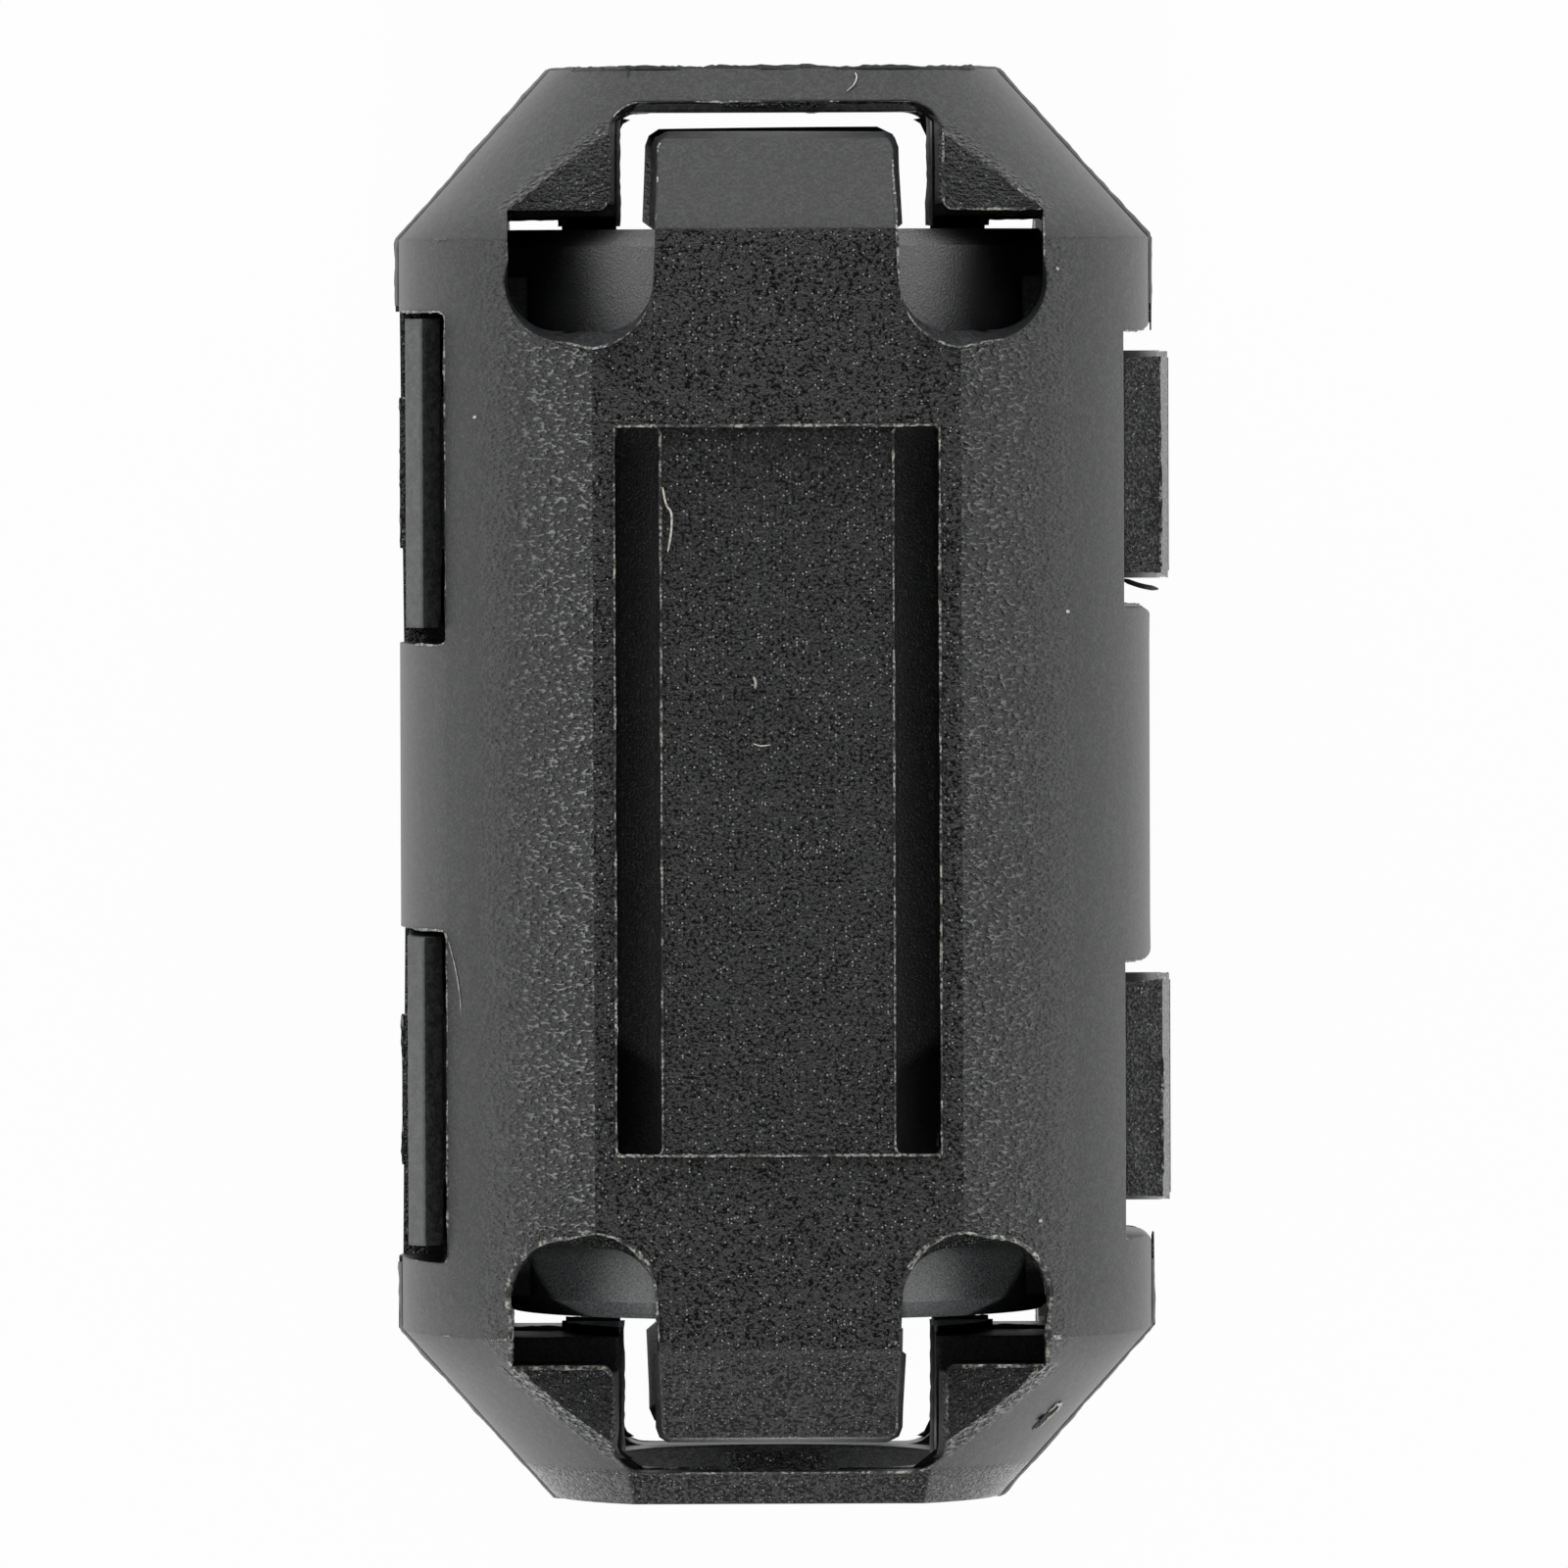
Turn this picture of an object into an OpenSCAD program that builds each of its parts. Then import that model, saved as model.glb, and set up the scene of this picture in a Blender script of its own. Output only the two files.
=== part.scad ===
// Clip-on ferrite bead. A one-piece nylon housing folds on two film hinges and snaps two ferrite
// half cores round a cable. The cable runs along Y through the origin, which is the centre of the
// bore at mid length. The halves part at Z = 0, the hinges are on +X and the latches on -X.

/* [Ferrite core] */
// Outer radius of the core
core_r = 5.93; // [5.8:0.01:6]
// Radius of the cable bore through the core
bore_r = 3.25; // [3:0.05:3.4]
// Length of the core
core_l = 22.7; // [22.3:0.1:24]
// Bevel on the outer edge of each core end
core_bevel = 0.35; // [0.2:0.05:0.5]
// How far the core lies off centre, towards +Y
core_offset = 0.3; // [0.2:0.05:0.35]

/* [Housing] */
// Wall thickness
wall = 0.9; // [0.8:0.05:1]
// Clearance round the core
core_fit = 0.07; // [0.05:0.01:0.12]
// Play of the core endways, each way from its pocket's middle
core_play = 0.17; // [0.16:0.01:0.2]
// How far the core pocket sits off centre, towards +Y
pocket_offset = 0.2; // [0.2:0.01:0.25]
// Air beside the core, bridged by the ribs and blocks
side_air = 1.06; // [1:0.01:1.3]
// How far the straight flanks run past the core
flank_over = 0.1; // [0:0.05:0.2]
// How far the flat lands run past the core
land_over = 0.3; // [0.2:0.01:0.4]
// How much fuller the lower half is than the upper one at the ends of its flanks
lower_flare = 0.08; // [0:0.01:0.1]
// Length of each housing end past the core
end_l = 3.65; // [3.5:0.05:4]
// Width of the end face's rim round the cable hole
rim_w = 1.4; // [1.25:0.05:1.45]
// Thickness of the end face's rim above the cable hole, where it is cut flat
rim_t = 0.3; // [0.2:0.01:0.4]
// Thickness of each locating rib
rib_t = 0.8; // [0.6:0.1:1]
// Distance of each locating rib from the core's end
rib_inset = 3.75; // [3.4:0.05:4]

/* [Cable guides and core stops] */
// Clearance of the cable hole in the ends over the bore
guide_clearance = 0.05; // [0.02:0.01:0.1]
// Wall of the guide cheeks that stop the core
cheek_t = 1.15; // [1:0.05:1.2]
// Height of the cheeks and the end blocks inside the windows
cheek_z = 3.05; // [2.8:0.05:3.3]
// How far the cheeks stand out from the end blocks
cheek_reach = 0.2; // [0.15:0.01:0.3]

/* [End windows] */
// Width over the two eyes of a window
window_w = 11.16; // [10.9:0.02:11.3]
// How far a window reaches past the core
window_over = 0.7; // [0.6:0.01:0.75]
// Length of an eye along the housing
eye_l = 2.52; // [2.3:0.02:2.6]
// Corner radius of an eye's inner end
eye_r = 1.05; // [0.8:0.05:1.3]
// Width of the bevel round an eye's inner end
eye_bevel = 0.35; // [0.2:0.05:0.4]
// Width of the throat beside the tongue
throat_w = 7; // [6.8:0.02:7.1]
// Length of the bar that closes the throat at the end face
bar_l = 0.7; // [0.65:0.05:0.8]
// How much longer the lower half's bars are
lower_bar = 0.17; // [0:0.01:0.2]
// Corner radius of the throat at the bar
throat_r = 0.75; // [0.4:0.05:0.8]
// Height of the flat ledges beside the throat
ledge_z = 4.8; // [4.6:0.05:5]
// Rounding where a ledge turns into the throat
ledge_r = 0.2; // [0.1:0.05:0.3]

/* [Tongues] */
// Width of a tongue
tongue_w = 5.1; // [4.9:0.05:5.2]
// How much a tongue narrows from root to tip, on each side
tongue_taper = 0.1; // [0:0.02:0.15]
// Gap between a tongue's tip and the bar
tongue_gap = 0.65; // [0.6:0.05:0.9]
// Corner radius of a tongue's tip
tongue_r = 0.4; // [0.2:0.05:0.6]
// Bevel on a tongue's tip, measured along the housing
tip_bevel = 0.12; // [0.08:0.01:0.16]

/* [Spring strips] */
// Width of a strip between its slots
strip_w = 4.84; // [4.7:0.02:5]
// Width of a slot
slot_w = 0.95; // [0.8:0.05:1]
// Length of a slot
slot_l = 15.14; // [14.6:0.02:15.4]
// Corner radius of a slot
slot_r = 0.15; // [0.1:0.05:0.3]
// Depth of the shallow step that frames the strip
step_d = 0.06; // [0.04:0.01:0.1]

/* [Latches] */
// Distance of each latch pocket's centre from the core's end
latch_inset = 4.89; // [4.8:0.01:5]
// Length of a latch pocket
pocket_l = 6.96; // [6.9:0.02:7.1]
// Depth of a pocket below the flank
pocket_d = 0.99; // [0.95:0.01:1.05]
// Corner radius of a pocket
pocket_r = 0.15; // [0.1:0.05:0.3]
// Depth of the pocket floor below the parting plane, where a loop is rooted
root_z = 1.1; // [1:0.05:1.3]
// Gap between a pocket's wall and the loop
loop_gap = 0.1; // [0.08:0.01:0.15]
// Thickness of a loop
loop_t = 0.73; // [0.6:0.01:0.8]
// How much shorter a loop is than its pocket
loop_play = 0.51; // [0.45:0.01:0.6]
// How far a loop sits off its pocket's centre, towards +Y
loop_offset = 0.11; // [0.05:0.01:0.12]
// Height of a loop's top above the parting plane
loop_top = 3.6; // [3.4:0.05:3.8]
// Height of a loop's crossbar
bar_h = 1.25; // [1.1:0.05:1.35]
// Width of a loop's legs
leg_w = 1.3; // [1.2:0.05:1.35]
// Height of the web under a loop's window
loop_base = 0.6; // [0.5:0.05:0.8]
// Height of the bevels on a crossbar's top
bar_bevel = 0.42; // [0.3:0.02:0.5]
// How much shorter a hook is than its loop's window
hook_play = 0.7; // [0.55:0.05:0.85]
// How far a hook's nose stands out past the loop
hook_proud = 0.13; // [0.08:0.01:0.2]
// Thickness of a hook's nose
hook_nose = 0.3; // [0.2:0.05:0.4]
// Height of a hook's ramp
hook_ramp = 1.15; // [1:0.05:1.3]
// Gap between a hook and the crossbar that it catches
catch_gap = 0.12; // [0.08:0.01:0.2]

/* [Hinges] */
// Distance of each hinge's centre from the core's end
hinge_inset = 4.8; // [4.7:0.01:4.9]
// How far both hinges sit off centre, towards +Y
hinge_offset = 0.13; // [0:0.01:0.15]
// Length of a notch in the flank
notch_l = 5.8; // [5.7:0.05:6]
// How far a notch sits off its hinge's centre, towards the housing's end
notch_offset = 0.05; // [0:0.01:0.1]
// Depth of a notch below the flank
notch_d = 0.6; // [0.5:0.01:0.65]
// Corner radius of a notch's rim
notch_r = 0.3; // [0.2:0.05:0.35]
// Length of a hinge leaf
leaf_l = 4.8; // [4.7:0.02:4.9]
// How far a leaf stands out past the flank
leaf_proud = 0.22; // [0.15:0.01:0.25]
// Height of a leaf at its outer edge
leaf_h = 1.15; // [1:0.05:1.3]
// Rise of a leaf's back towards the flank
leaf_rise = 0.3; // [0.2:0.05:0.4]
// Slope of a leaf's ends, as the length that each loses at the top
leaf_draft = 0.16; // [0.1:0.02:0.3]
// Distance of the hinge axis from the leaves
hinge_out = 0.2; // [0.18:0.01:0.22]
// Thickness of the hinge film
film_t = 0.15; // [0.12:0.01:0.18]
// Outer radius of the folded film
film_r = 0.2; // [0.19:0.01:0.22]

/* [Hidden] */

$fn = 64;
past = 1; // how far a cut runs past the material
nylon = [0.23, 0.23, 0.24];
ferrite = [0.17, 0.18, 0.20];

seat_r = core_r + core_fit;
housing_r = core_r + side_air + wall;
land_z = seat_r + wall;
half_l = core_l / 2 + end_l;
shoulder_y = core_l / 2 + flank_over;
guide_r = bore_r + guide_clearance;
end_r = guide_r + rim_w;
taper = atan2(housing_r - end_r, half_l - shoulder_y);
land_y = core_l / 2 + land_over;
land_taper = atan2(land_z - guide_r - rim_t, half_l - land_y);
rib_y = core_l / 2 - rib_inset;

stop_y = core_l / 2 + core_play;
chamber_y = stop_y + cheek_reach;
window_y = core_l / 2 + window_over;
throat_y = half_l - bar_l;
tongue_y = throat_y - tongue_gap;
eye_w = (window_w - tongue_w) / 2;
slot_x = (strip_w + slot_w) / 2;

latch_y = core_l / 2 - latch_inset;
pocket_x = housing_r - pocket_d;
loop_in = pocket_x + loop_gap;
loop_out = loop_in + loop_t;
loop_l = pocket_l - loop_play;
window_l = loop_l - 2 * leg_w;
window_top = loop_top - bar_h;
hook_l = window_l - hook_play;
hook_top = window_top - catch_gap;
hook_x = loop_out + hook_proud;
block_z = sqrt(pow(housing_r, 2) - pow(pocket_x, 2)) + 0.3 * wall;
block_margin = 0.8 * wall;

hinge_y = core_l / 2 - hinge_inset;
notch_x = housing_r - notch_d;
leaf_x = housing_r + leaf_proud;
hinge_x = leaf_x + hinge_out;
leaf_gap = film_r - film_t;
film_margin = 0.2 * film_t;

// ---- helpers ----

// Extrudes an X-Z section along Y, centred.
module along(l) {
    rotate([90, 0, 0])
        linear_extrude(l, center = true)
            children();
}

// Extrudes a Y-Z section across X, centred.
module across(w) {
    rotate([90, 0, 90])
        linear_extrude(w, center = true)
            children();
}

// A plan outline raised from z0 to z1.
module raised(z0, z1) {
    translate([0, 0, z0])
        linear_extrude(z1 - z0)
            children();
}

module at_both_ends() {
    children();
    mirror([0, 1, 0])
        children();
}

module on_both_sides() {
    children();
    mirror([1, 0, 0])
        children();
}

module rounded_rect(w, l, r) {
    square([w - 2 * r, l], center = true);
    square([w, l - 2 * r], center = true);
    for (sx = [-1, 1], sy = [-1, 1])
        translate([sx * (w / 2 - r), sy * (l / 2 - r)])
            circle(r = r);
}

// A rectangle that runs from the origin along +Y, with its two far corners rounded.
module capped(w, l, r) {
    translate([-w / 2, 0])
        square([w, l - r]);
    translate([r - w / 2, 0])
        square([w - 2 * r, l]);
    for (side = [-1, 1])
        translate([side * (w / 2 - r), l - r])
            circle(r = r);
}

// What a rounded corner takes off material that fills the +X +Y quadrant.
module corner_round(r) {
    difference() {
        square([r, r]);
        translate([r, r])
            circle(r = r);
    }
}

// ---- the housing's form ----

// Round flanks, flat lands above and below, and ends that taper to the cable hole. An inset shrinks
// it by a wall, measured square to each face. A flare widens the flanks towards the shoulders.
// The lands end a little past the flanks' shoulders, so they slope down a little more steeply.
module outline(inset = 0, flare = 0) {
    r = housing_r - inset;
    z = land_z - inset;
    y = shoulder_y - inset * tan(taper / 2);
    drop = (half_l - y) * tan(taper);
    end_y = land_y - inset * tan(land_taper / 2);
    fall = (half_l - end_y) * tan(land_taper);
    waist_y = shoulder_y / 4;
    intersection() {
        rotate([-90, 0, 0])
            rotate_extrude()
                polygon([[0, -half_l], [r + flare - drop, -half_l], [r + flare, -y], [r, -waist_y],
                         [r, waist_y], [r + flare, y], [r + flare - drop, half_l], [0, half_l]]);
        across(3 * housing_r)
            polygon([[-half_l, fall - z], [-end_y, -z], [end_y, -z], [half_l, fall - z],
                     [half_l, z - fall], [end_y, z], [-end_y, z], [-half_l, z - fall]]);
    }
}

module upper_half_space() {
    translate([-2 * housing_r, -half_l - past, 0])
        cube([4 * housing_r, 2 * (half_l + past), 2 * housing_r]);
}

// Blocks behind the latch pockets and the hinge leaves, and a rib up each flank, leave the core
// its round seat.
module seat_blocks() {
    block_l = pocket_l + 2 * block_margin;
    flank_x = strip_w / 2 + slot_r;
    difference() {
        union() {
            at_both_ends()
                translate([-housing_r, latch_y - block_l / 2, -past])
                    cube([2 * housing_r, block_l, block_z + past]);
            at_both_ends()
                on_both_sides()
                    translate([flank_x, rib_y - rib_t / 2, -past])
                        cube([housing_r, rib_t, land_z + past]);
        }
        rotate([90, 0, 0])
            cylinder(r = seat_r, h = 2 * half_l, center = true);
    }
}

// The hollow that holds the core, a little off centre.
module chamber() {
    difference() {
        intersection() {
            outline(wall);
            translate([-housing_r, pocket_offset - chamber_y, -past])
                cube([2 * housing_r, 2 * chamber_y, 2 * housing_r]);
        }
        seat_blocks();
    }
}

// Under each tongue the end blocks are open to the cable, as wide as its guide and as far as the bars.
module cable_way(bar_y) {
    intersection() {
        outline(wall);
        translate([-guide_r, -bar_y, -past])
            cube([2 * guide_r, 2 * bar_y, 2 * housing_r]);
    }
    rotate([90, 0, 0])
        cylinder(r = guide_r, h = 2 * (half_l + past), center = true);
}

module tongue_plan() {
    root_y = window_y - eye_l + eye_r;
    tip_w = tongue_w - 2 * tongue_taper;
    tip_l = 2 * tongue_r;
    polygon([[-tongue_w / 2, 0], [tongue_w / 2, 0], [tongue_w / 2, root_y], [tip_w / 2, tongue_y - tip_l],
             [-tip_w / 2, tongue_y - tip_l], [-tongue_w / 2, root_y]]);
    translate([0, tongue_y - tip_l])
        capped(tip_w, tip_l, tongue_r);
}

// Plan of the eye on the +X side of a tongue. Beyond its round end it follows the tongue's taper.
module eye_plan() {
    translate([(tongue_w + eye_w) / 2, window_y])
        mirror([0, 1])
            capped(eye_w, eye_l, eye_r);
    translate([tongue_w / 2 - tongue_taper, window_y - eye_l + eye_r])
        square([2 * tongue_taper, eye_l - eye_r]);
}

// Plan of the window at the +Y end: an eye on each side of the tongue, and the throat round its tip,
// up to the bar.
module window_plan(bar_y) {
    difference() {
        union() {
            on_both_sides() {
                eye_plan();
                translate([throat_w / 2, window_y])
                    corner_round(ledge_r);
            }
            translate([0, window_y - ledge_r])
                capped(throat_w, bar_y - window_y + ledge_r, throat_r);
        }
        tongue_plan();
    }
}

// The bevel round an eye's inner end. It fades out towards the tongue and down the flank.
module eye_rim() {
    side_x = window_w / 2 - eye_r;
    inner_x = tongue_w / 2 + eye_r + eye_bevel;
    inner_y = window_y - eye_l + eye_r;
    rise = 2 * wall;
    growth = 2 * eye_bevel;
    flank_z = sqrt(pow(housing_r, 2) - pow(side_x, 2));
    flank_depth = 1.5 * wall;
    flank_growth = 1.2 * eye_bevel;
    translate([inner_x, inner_y, land_z - wall])
        cylinder(r1 = eye_r, r2 = eye_r + growth, h = rise);
    translate([(inner_x + side_x) / 2, inner_y, land_z - wall])
        across(side_x - inner_x)
            polygon([[0, 0], [-eye_r, 0], [-eye_r - growth, rise], [0, rise]]);
    translate([side_x, inner_y, flank_z - flank_depth])
        cylinder(r1 = eye_r, r2 = eye_r + flank_growth, h = 2 * flank_depth);
}

// The steep bevel that a tongue's tip ends in, down to half the wall.
module tip_cut() {
    fall = tan(land_taper);
    tip_z = land_z - (tongue_y - land_y) * fall;
    across(tongue_w + slot_w)
        polygon([[tongue_y - tip_bevel, tip_z + tip_bevel * fall], [tongue_y, tip_z - wall / 2],
                 [tongue_y + tongue_gap / 2, tip_z], [tongue_y, land_z]]);
}

// The flat ledges on both sides of a throat, where the tapered end is cut level.
module ledge_cut() {
    on_both_sides()
        translate([throat_w / 2 - ledge_r, window_y, ledge_z])
            cube([housing_r, half_l, housing_r]);
}

// Two slots free the middle of the land, which springs on the core, and a shallow step frames it.
module strip_cut() {
    on_both_sides()
        translate([slot_x, 0])
            raised(land_z - wall - past, land_z + past)
                rounded_rect(slot_w, slot_l, slot_r);
    raised(land_z - step_d, land_z + past)
        square([strip_w + 2 * slot_w, slot_l], center = true);
}

// The cheeks that the core ends stop against. They are cut back to the width of the cable's way.
module core_stops() {
    translate([0, pocket_offset, 0])
        at_both_ends()
            difference() {
                intersection() {
                    rotate([-90, 0, 0])
                        cylinder(r = guide_r + cheek_t, h = half_l - end_l + past + cheek_reach);
                    translate([-housing_r, stop_y, 0])
                        cube([2 * housing_r, cheek_reach + wall / 4, cheek_z]);
                }
                translate([-guide_r, 0, -past])
                    cube([2 * guide_r, half_l, 2 * housing_r]);
            }
}

// Plan of a latch pocket, which runs out through the flank.
module pocket_plan() {
    translate([-pocket_x - housing_r / 2, latch_y])
        rounded_rect(housing_r, pocket_l, pocket_r);
}

// Plan of a hinge notch, with the rims of the flank rounded.
module notch_plan() {
    middle_y = hinge_y + notch_offset;
    translate([notch_x, middle_y - notch_l / 2])
        square([housing_r, notch_l]);
    for (side = [-1, 1])
        translate([housing_r + lower_flare / 2, middle_y + side * notch_l / 2])
            mirror([1, 0])
                mirror([0, side < 0 ? 1 : 0])
                    corner_round(notch_r);
}

// What the two halves have in common, as the upper one lies.
module half_body(flare = 0, bar_y = throat_y) {
    difference() {
        intersection() {
            outline(0, flare);
            upper_half_space();
        }
        chamber();
        cable_way(bar_y);
        at_both_ends() {
            raised(cheek_z, land_z + past)
                window_plan(bar_y);
            tip_cut();
            on_both_sides()
                eye_rim();
            ledge_cut();
            raised(-past, housing_r)
                notch_plan();
        }
        strip_cut();
    }
    core_stops();
}

// ---- latch and hinge parts ----

// A hook under each crossbar: a flat catch above, and a ramp below that pushes the loop aside.
module hook() {
    translate([0, latch_y + loop_offset, 0])
        along(hook_l)
            polygon([[-pocket_x + wall / 2, hook_top], [-hook_x, hook_top], [-hook_x, hook_top - hook_nose],
                     [-pocket_x, hook_top - hook_nose - hook_ramp],
                     [-pocket_x + wall / 2, hook_top - hook_nose - hook_ramp]]);
}

// A leaf of a film hinge, with a sloping back and drafted ends.
module hinge_leaf() {
    root_x = notch_x - wall / 2;
    back = leaf_h + leaf_rise * (leaf_x - root_x) / (leaf_x - notch_x);
    lip_z = film_r + film_margin;
    translate([0, hinge_y, 0])
        intersection() {
            along(leaf_l)
                polygon([[root_x, leaf_gap], [leaf_x, leaf_gap], [leaf_x, lip_z], [hinge_x - film_margin, lip_z],
                         [leaf_x, leaf_h], [root_x, back]]);
            across(3 * housing_r)
                polygon([[-leaf_l / 2, 0], [leaf_l / 2, 0], [leaf_l / 2 - leaf_draft, leaf_h + leaf_rise],
                         [leaf_draft - leaf_l / 2, leaf_h + leaf_rise]]);
        }
}

// A latch loop: two legs and a crossbar with a roof-shaped top, rooted on its pocket's floor.
module latch_loop() {
    ridge = (loop_in + loop_out) / 2;
    color(nylon)
        translate([0, latch_y + loop_offset, 0])
            difference() {
                along(loop_l)
                    polygon([[-loop_in, -root_z], [-loop_in, loop_top - bar_bevel], [-ridge, loop_top],
                             [-loop_out, loop_top - bar_bevel], [-loop_out, -root_z]]);
                translate([-loop_out - past, -window_l / 2, loop_base - root_z])
                    cube([loop_t + 2 * past, window_l, window_top - loop_base + root_z]);
            }
}

// The film that joins two leaves, folded round the parting line.
module hinge_film() {
    color(nylon)
        translate([0, hinge_y + hinge_offset, 0])
            along(leaf_l - 2 * leaf_draft)
                difference() {
                    translate([leaf_x, 0])
                        circle(r = film_r);
                    translate([leaf_x, 0])
                        circle(r = leaf_gap);
                    translate([leaf_x - film_r - past, -film_r - past])
                        square([film_r + past, 2 * (film_r + past)]);
                }
}

// ---- sub-parts ----

module upper_shell() {
    color(nylon) {
        difference() {
            half_body();
            at_both_ends()
                raised(-past, housing_r)
                    pocket_plan();
        }
        hook();
        translate([0, -2 * latch_y, 0])
            hook();
        translate([0, hinge_offset, 0])
            at_both_ends()
                hinge_leaf();
    }
}

module lower_shell() {
    color(nylon)
        mirror([0, 0, 1]) {
            difference() {
                half_body(lower_flare, throat_y - lower_bar);
                at_both_ends()
                    raised(-past, root_z)
                        pocket_plan();
            }
            translate([0, hinge_offset, 0])
                at_both_ends()
                    hinge_leaf();
        }
}

// Half of the ferrite sleeve, with bevelled outer edges.
module half_core() {
    l = core_l / 2;
    color(ferrite)
        translate([0, core_offset, 0])
            intersection() {
                rotate([-90, 0, 0])
                    rotate_extrude()
                        polygon([[bore_r, -l], [core_r - core_bevel, -l], [core_r, core_bevel - l],
                                 [core_r, l - core_bevel], [core_r - core_bevel, l], [bore_r, l]]);
                upper_half_space();
            }
}

module upper_core() {
    half_core();
}

module lower_core() {
    mirror([0, 0, 1])
        half_core();
}

module front_latch() {
    translate([0, -2 * latch_y, 0])
        latch_loop();
}

module rear_latch() {
    latch_loop();
}

module front_hinge_film() {
    translate([0, -2 * hinge_y, 0])
        hinge_film();
}

module rear_hinge_film() {
    hinge_film();
}

upper_shell();
lower_shell();
upper_core();
lower_core();
front_latch();
rear_latch();
front_hinge_film();
rear_hinge_film();
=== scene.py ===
# %% [markdown]
# # Clip-on ferrite bead
# A nylon housing that folds on two film hinges and snaps two ferrite half cores round a cable. The
# frame holds its true shapes, one mesh for each solid, placed as the shut bead has them. These cells
# give each surface its finish and add what is too thin or too ragged for a solid: the films that
# bend, the moulding flash, the lean of a few walls, and signs of use. Everything is in metres, the
# cable runs along Y, the front end is at -Y and the hinges are at +X.

# %% Frame
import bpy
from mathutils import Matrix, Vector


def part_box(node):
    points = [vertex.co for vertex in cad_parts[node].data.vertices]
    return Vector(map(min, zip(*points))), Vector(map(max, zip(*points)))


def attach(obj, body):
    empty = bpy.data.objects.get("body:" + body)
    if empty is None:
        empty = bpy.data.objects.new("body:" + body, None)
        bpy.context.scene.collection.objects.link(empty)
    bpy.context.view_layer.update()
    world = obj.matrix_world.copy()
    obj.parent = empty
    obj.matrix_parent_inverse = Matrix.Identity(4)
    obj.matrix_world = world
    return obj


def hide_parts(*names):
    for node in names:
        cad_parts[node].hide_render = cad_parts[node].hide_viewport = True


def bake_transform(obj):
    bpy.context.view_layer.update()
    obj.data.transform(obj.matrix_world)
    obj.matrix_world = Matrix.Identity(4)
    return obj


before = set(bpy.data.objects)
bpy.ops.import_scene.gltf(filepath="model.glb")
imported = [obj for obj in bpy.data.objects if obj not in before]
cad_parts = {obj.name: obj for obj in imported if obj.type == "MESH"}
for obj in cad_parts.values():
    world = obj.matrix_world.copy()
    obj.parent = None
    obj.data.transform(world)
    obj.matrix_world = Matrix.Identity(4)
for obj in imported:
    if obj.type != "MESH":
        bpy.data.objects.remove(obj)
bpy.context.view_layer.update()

# %% Modules and units
import math
import random
from types import SimpleNamespace

import bmesh
import bpy
from mathutils import Matrix, Vector
from mathutils.bvhtree import BVHTree

MM = 0.001
scene = bpy.context.scene
print("nodes:", ", ".join(sorted(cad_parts)))


# %% [markdown]
# ## Shader arithmetic
# A finish is a sum of small patterns, measured in millimetres on the part. It could be wired by hand
# in the shader editor, but a sum is easier to read as a sum. So one small class wraps a socket, and
# arithmetic on it adds the Math nodes. Numbers alone are worked out in Python.

# %% A value in a shader
class Wire:
    """A socket of a node tree. Arithmetic on it adds the nodes that do it."""

    def __init__(self, tree, socket=None):
        self.tree = tree
        self.socket = socket

    def make(self, kind, inputs=(), output=0, **settings):
        """Any other node: its type, its sockets by name or number, the output wanted and its settings."""
        node = self.tree.nodes.new(kind)
        for name, value in settings.items():
            setattr(node, name, value)
        for name, value in dict(inputs).items():
            feed(self.tree, node.inputs[name], value)
        return Wire(self.tree, node.outputs[output] if node.outputs else None)

    def twin(self, output):
        """Another output of the same node."""
        return Wire(self.tree, self.socket.node.outputs[output])

    def math(self, operation, *others):
        return self.make("ShaderNodeMath", enumerate((self, *others)), operation=operation)

    def times_each(self, x, y, z):
        """A vector with each of its parts multiplied by a number."""
        return self.make("ShaderNodeVectorMath", {0: self, 1: (x, y, z)}, operation="MULTIPLY")

    def __add__(self, other):
        return self.math("ADD", other)

    __radd__ = __add__

    def __mul__(self, other):
        return self.math("MULTIPLY", other)

    __rmul__ = __mul__

    def __sub__(self, other):
        return self.math("SUBTRACT", other)

    def __rsub__(self, other):
        return self.make("ShaderNodeMath", {0: other, 1: self}, operation="SUBTRACT")

    def __truediv__(self, other):
        return self.math("DIVIDE", other)

    def __rtruediv__(self, other):
        return self.make("ShaderNodeMath", {0: other, 1: self}, operation="DIVIDE")

    def __abs__(self):
        return self.math("ABSOLUTE")

    def most(self, other):
        return self.math("MAXIMUM", other)

    def least(self, other):
        return self.math("MINIMUM", other)

    def step(self, low, high):
        """0 below low, 1 above high and smooth between. With low above high it runs the other way."""
        if low > high:
            return 1 - self.step(high, low)
        return self.make("ShaderNodeMapRange", {"Value": self, "From Min": low, "From Max": high},
                         interpolation_type="SMOOTHSTEP")

    def blend(self, a, b):
        """Colour a where this is 0 and b where it is 1."""
        return self.make("ShaderNodeMix", {0: self, 6: a, 7: b}, 2, data_type="RGBA")

    def grey(self):
        """A colour with this level in all its channels."""
        return self.make("ShaderNodeCombineXYZ", enumerate((self, self, self)))

    def parts(self):
        split = self.make("ShaderNodeSeparateXYZ", {0: self})
        return [split.twin(k) for k in range(3)]


def feed(tree, socket, value):
    """Link a wire to a socket, or write a plain value into it."""
    if isinstance(value, Wire):
        tree.links.new(value.socket, socket)
    else:
        socket.default_value = value


# %% [markdown]
# ## Patterns on a piece
# A pattern has to stay with its piece when the bead opens, and must not depend on how a mesh was
# unwrapped. So it is worked out from the position on the part and from the part's own normal, which
# says how steep a face is. The same finish then suits every piece, and nothing needs painting.

# %% Position, noise and flecks
def patterns(material):
    """Position in millimetres on the part and the part's own normal, as wires."""
    source = Wire(material.node_tree).make("ShaderNodeTexCoord", output="Object")
    return source.times_each(1 / MM, 1 / MM, 1 / MM), source.twin("Normal")


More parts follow.
